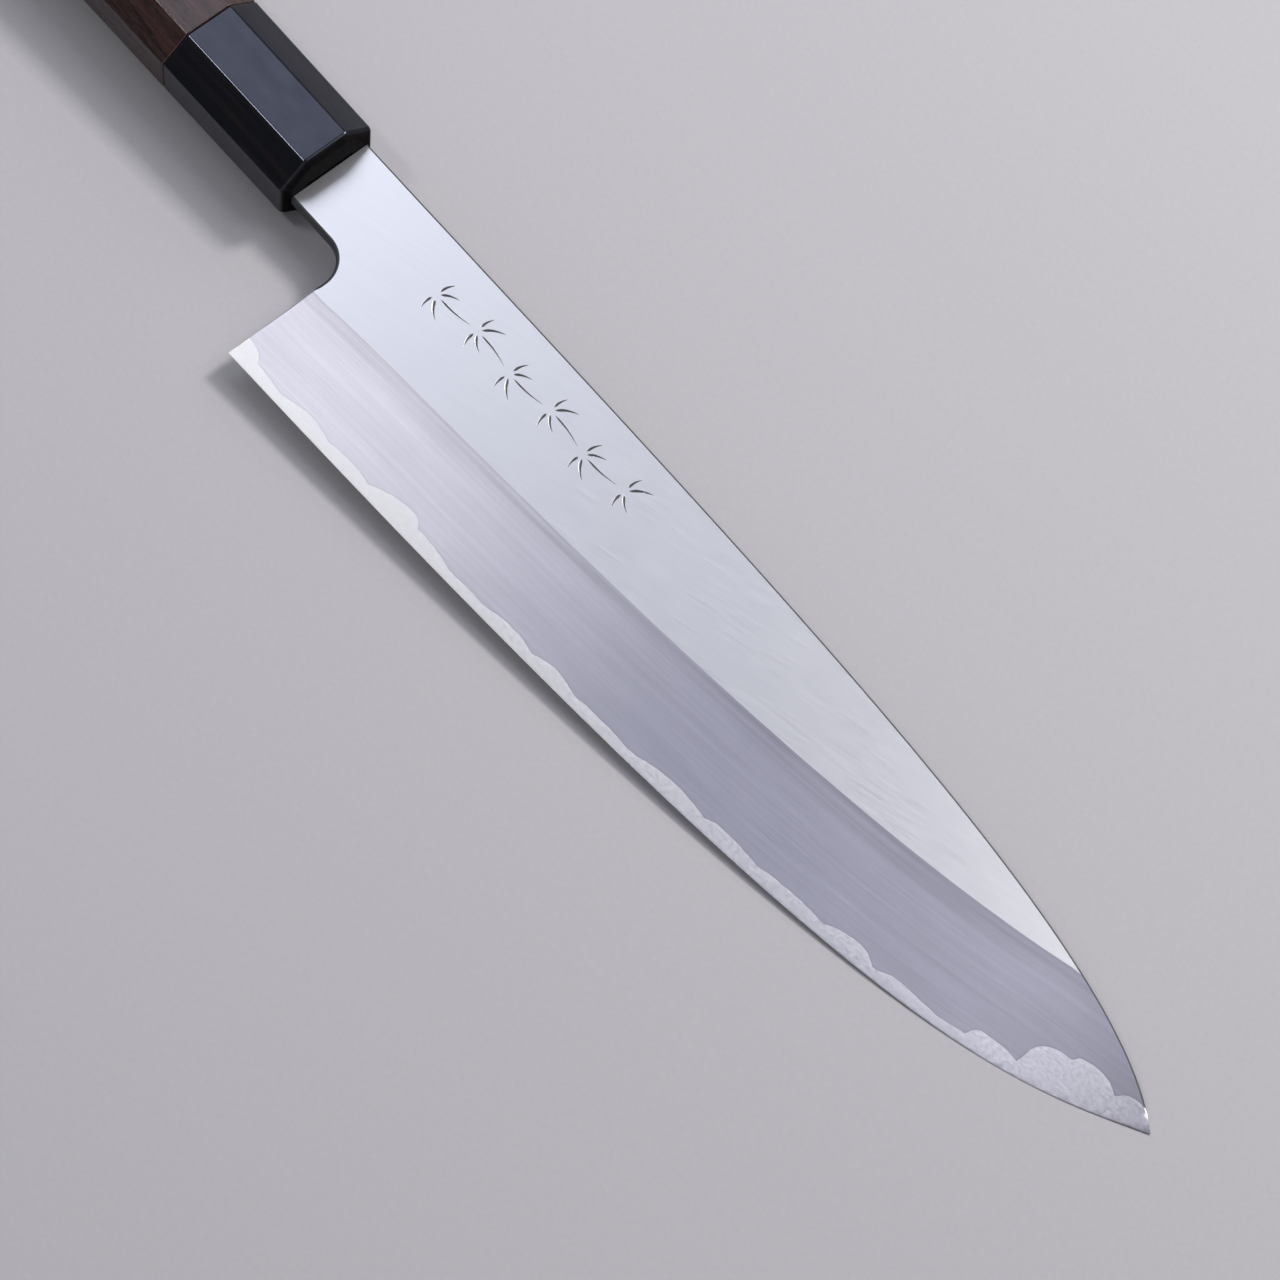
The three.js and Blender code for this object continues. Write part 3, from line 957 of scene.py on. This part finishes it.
def horn_material():
    """Polished black horn: faint brown streaks along the handle and fine wiping marks."""
    nodes = Nodes("ferrule_horn")
    place = nodes.attribute("knife", "Vector")
    streak = nodes.noise(nodes.stretched(place, (0.03, 0.7, 0.7)), detail=4, roughness=0.6)
    wipes = nodes.noise(nodes.stretched(place, (0.8, 9, 9), turn=20), detail=4, roughness=0.7)
    dust = nodes.noise(nodes.stretched(place, (2.5, 2.5, 2.5)), detail=6, roughness=0.7)
    along = nodes.add("ShaderNodeSeparateXYZ", {0: place}).outputs[0]
    front = nodes.ramp(along, -1.5, -0.4)
    cloud = nodes.noise(nodes.stretched(place, (0.11, 0.2, 0.2)), detail=3)
    polish = nodes.spread(wipes, 0.12, 0.16)
    polish = nodes.math("ADD", polish, nodes.span(dust, 0.5, 0.8, 0.0, 0.05))
    shine = nodes.span(front, 0, 1, 0.5, 0.05)
    shine = nodes.math("MULTIPLY", shine, nodes.spread(cloud, 0.88, 1.1))
    nodes.set(
        Base_Color=nodes.mix(nodes.ramp(streak, 0.45, 0.75), HORN_BLACK, HORN_BROWN),
        Roughness=nodes.mix_value(front, polish, 0.5),
        IOR=nodes.span(front, 0, 1, 1.66, 1.15),
        Specular_IOR_Level=shine,
        # Painted reflection colour: the specular tint gives the horn's reflections a blue cast from the
        # sky above.
        Specular_Tint=(0.71, 0.78, 1.0, 1.0),
        Normal=nodes.bump(wipes, 0.02, 0.00002),
    )
    return nodes.material


def rosewood_material():
    """Oiled rosewood: dark bands and fine pores drawn out along the handle."""
    nodes = Nodes("rosewood")
    place = nodes.attribute("knife", "Vector")
    warp = nodes.noise(nodes.stretched(place, (0.02, 0.09, 0.09)), detail=2)
    shift = nodes.tint((0.0, 9.0, 7.0), warp)
    bent = nodes.add("ShaderNodeVectorMath", {0: place, 1: shift}, operation="ADD").outputs[0]
    bands = nodes.noise(nodes.stretched(bent, (0.006, 0.55, 0.55)), detail=5, roughness=0.6)
    fibre = nodes.noise(nodes.stretched(bent, (0.12, 5, 5)), detail=5, roughness=0.65)
    pores = nodes.noise(nodes.stretched(bent, (0.35, 7, 7)), detail=2, roughness=0.5)
    base = nodes.mix(nodes.ramp(bands, 0.36, 0.66), WOOD_DARK, WOOD_RED)
    light_fibre = nodes.math("MULTIPLY", nodes.ramp(fibre, 0.42, 0.7), 0.45)
    base = nodes.mix(light_fibre, base, WOOD_LIGHT)
    pore = nodes.ramp(pores, 0.60, 0.68)
    height = nodes.math("SUBTRACT", fibre, nodes.math("MULTIPLY", pore, 0.8))
    roughness = nodes.spread(fibre, 0.24, 0.34)
    nodes.set(
        Base_Color=nodes.mix(nodes.math("MULTIPLY", pore, 0.75), base, WOOD_DARK),
        Roughness=nodes.math("ADD", roughness, nodes.math("MULTIPLY", pore, 0.2)),
        IOR=1.62,
        Normal=nodes.bump(height, 0.25, 0.00008),
    )
    return nodes.material


def plain_wood_material():
    """Pale, unfinished wood of the dowel, inside the handle."""
    nodes = Nodes("dowel_wood")
    place = nodes.add("ShaderNodeTexCoord").outputs["Object"]
    grain = nodes.noise(nodes.stretched(place, (40, 2200, 2200)), detail=5, roughness=0.6)
    nodes.set(
        Base_Color=nodes.mix(grain, (0.38, 0.22, 0.10), (0.62, 0.42, 0.23)),
        Roughness=nodes.spread(grain, 0.65, 0.8),
        Normal=nodes.bump(grain, 0.2, 0.0001),
    )
    return nodes.material


def resin_material():
    """Cured black-brown adhesive round the tang, seen only in the slot."""
    nodes = Nodes("resin")
    place = nodes.add("ShaderNodeTexCoord").outputs["Object"]
    cloud = nodes.noise(nodes.stretched(place, (300, 300, 300)), detail=4)
    nodes.set(
        Base_Color=nodes.mix(cloud, (0.012, 0.009, 0.007), (0.03, 0.022, 0.016)),
        Roughness=nodes.spread(cloud, 0.25, 0.4),
    )
    return nodes.material


def floor_material():
    """Plain, matt and pale."""
    nodes = Nodes("floor")
    place = nodes.add("ShaderNodeTexCoord").outputs["Object"]
    grain = nodes.noise(nodes.stretched(place, (900, 900, 900)), detail=3)
    colour = nodes.tint(FLOOR_COLOUR, nodes.spread(grain, 0.98, 1.02))
    nodes.set(Base_Color=colour, Roughness=0.9, Specular_IOR_Level=0.2)
    return nodes.material


# ---------------------------------------------------------------- the object

RIGHT_LAMINATION = lamination_line(RIGHT_LOBES, seed=5)
LEFT_LAMINATION = lamination_line(LEFT_LOBES, seed=11)


def show(piece, node, material):
    """Puts a piece in the place of its CAD node, with its material."""
    piece.data.materials.clear()
    piece.data.materials.append(material)
    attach(piece, "root")
    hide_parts(node)


def build_knife():
    steel = cladding_material()
    core = make_core("blade_core", RIGHT_LAMINATION, LEFT_LAMINATION)
    right = make_cladding("blade_cladding_right", RIGHT_LAMINATION, 1, ornament_strokes())
    left = make_cladding("blade_cladding_left", LEFT_LAMINATION, -1, ())
    show(core, "core_steel", core_material())
    show(right, "cladding_right", steel)
    show(left, "cladding_left", steel)
    ferrule = softened_copy("handle_ferrule", "ferrule", FERRULE_ROUNDING)
    show(ferrule, "ferrule", horn_material())
    body = softened_copy("handle_wood", "handle_body", WOOD_ROUNDING)
    show(body, "handle_body", rosewood_material())
    for node, material in (("dowel", plain_wood_material()), ("tang_resin", resin_material())):
        NODES[node].data.materials.clear()
        NODES[node].data.materials.append(material)


# ---------------------------------------------------------------- stage, light and camera

def knife_direction(azimuth, elevation):
    """Unit vector in the knife's frame; azimuth 0 is -Y and 90 is +X."""
    a, e = math.radians(azimuth), math.radians(elevation)
    return Vector((math.sin(a) * math.cos(e), -math.cos(a) * math.cos(e), math.sin(e)))


def knife_point(x, y, z):
    """A place in the knife's frame (mm) as a place in the row frame."""
    return TO_ROW @ Vector((x, y, z))


def look(obj, position, target, roll=0.0):
    """Places an object and points its -Z axis at the target."""
    back = (position - target).normalized()
    side = (TURN.col[2].cross(back)).normalized()
    up = back.cross(side)
    turned = Matrix.Rotation(math.radians(roll), 3, back)
    axes = Matrix((turned @ side, turned @ up, back)).transposed()
    obj.matrix_world = Matrix.Translation(position) @ axes.to_4x4()


def add_camera():
    data = bpy.data.cameras.new("camera")
    data.lens = CAMERA_LENS
    data.sensor_width = CAMERA_SENSOR
    camera = bpy.data.objects.new("camera", data)
    bpy.context.scene.collection.objects.link(camera)
    aim = knife_point(*CAMERA_AIM)
    away = TURN @ knife_direction(CAMERA_AZIMUTH, CAMERA_ELEVATION)
    look(camera, aim + away * CAMERA_DISTANCE * MM, aim, CAMERA_ROLL)
    bpy.context.scene.camera = camera


def add_softbox(name, place, size, power, colour):
    data = bpy.data.lights.new(name, "AREA")
    data.shape = "RECTANGLE"
    data.size, data.size_y = size[0] * MM, size[1] * MM
    data.energy = power
    data.color = colour
    light = bpy.data.objects.new(name, data)
    bpy.context.scene.collection.objects.link(light)
    light.matrix_world = Matrix.Translation(knife_point(*place)) @ TURN.to_4x4()
    return light


def add_floor():
    mesh = bpy.data.meshes.new("floor")
    r = FLOOR_HALF_SIZE
    mesh.from_pydata([(-r, -r, 0), (r, -r, 0), (r, r, 0), (-r, r, 0)], [], [(0, 1, 2, 3)])
    mesh.materials.append(floor_material())
    floor = bpy.data.objects.new("floor", mesh)
    bpy.context.scene.collection.objects.link(floor)


def add_world():
    """The studio's walls, as a background that depends on direction alone."""
    world = bpy.data.worlds.new("studio")
    world.use_nodes = True
    tree = world.node_tree
    direction = tree.nodes.new("ShaderNodeTexCoord").outputs["Generated"]
    colour = tree.nodes.new("ShaderNodeRGB").outputs[0]
    colour.default_value = (*DARK_WALL, 1)
    for towards, start, bright in BRIGHT_WALLS:
        cosine = tree.nodes.new("ShaderNodeVectorMath")
        cosine.operation = "DOT_PRODUCT"
        cosine.inputs[1].default_value = (TURN @ Vector(towards)).normalized()
        share = tree.nodes.new("ShaderNodeMapRange")
        share.interpolation_type = "SMOOTHSTEP"
        share.inputs["From Min"].default_value = start
        share.inputs["From Max"].default_value = WALL_FULL_FROM
        wall = tree.nodes.new("ShaderNodeMix")
        wall.data_type = "RGBA"
        wall.inputs[7].default_value = (*bright, 1)
        tree.links.new(direction, cosine.inputs[0])
        tree.links.new(cosine.outputs["Value"], share.inputs["Value"])
        tree.links.new(share.outputs[0], wall.inputs["Factor"])
        tree.links.new(colour, wall.inputs[6])
        colour = wall.outputs[2]
    tree.links.new(colour, tree.nodes["Background"].inputs["Color"])
    bpy.context.scene.world = world


def set_stage():
    scene = bpy.context.scene
    scene.view_settings.view_transform = "Standard"
    add_world()
    add_floor()
    for softbox in SOFTBOXES:
        add_softbox(*softbox)
    for turned in (SHADOW_LAMP, BACK_SOFTBOX):
        light = add_softbox(*turned)
        look(light, light.matrix_world.translation.copy(), knife_point(*CAMERA_AIM))
    add_camera()


build_knife()
set_stage()
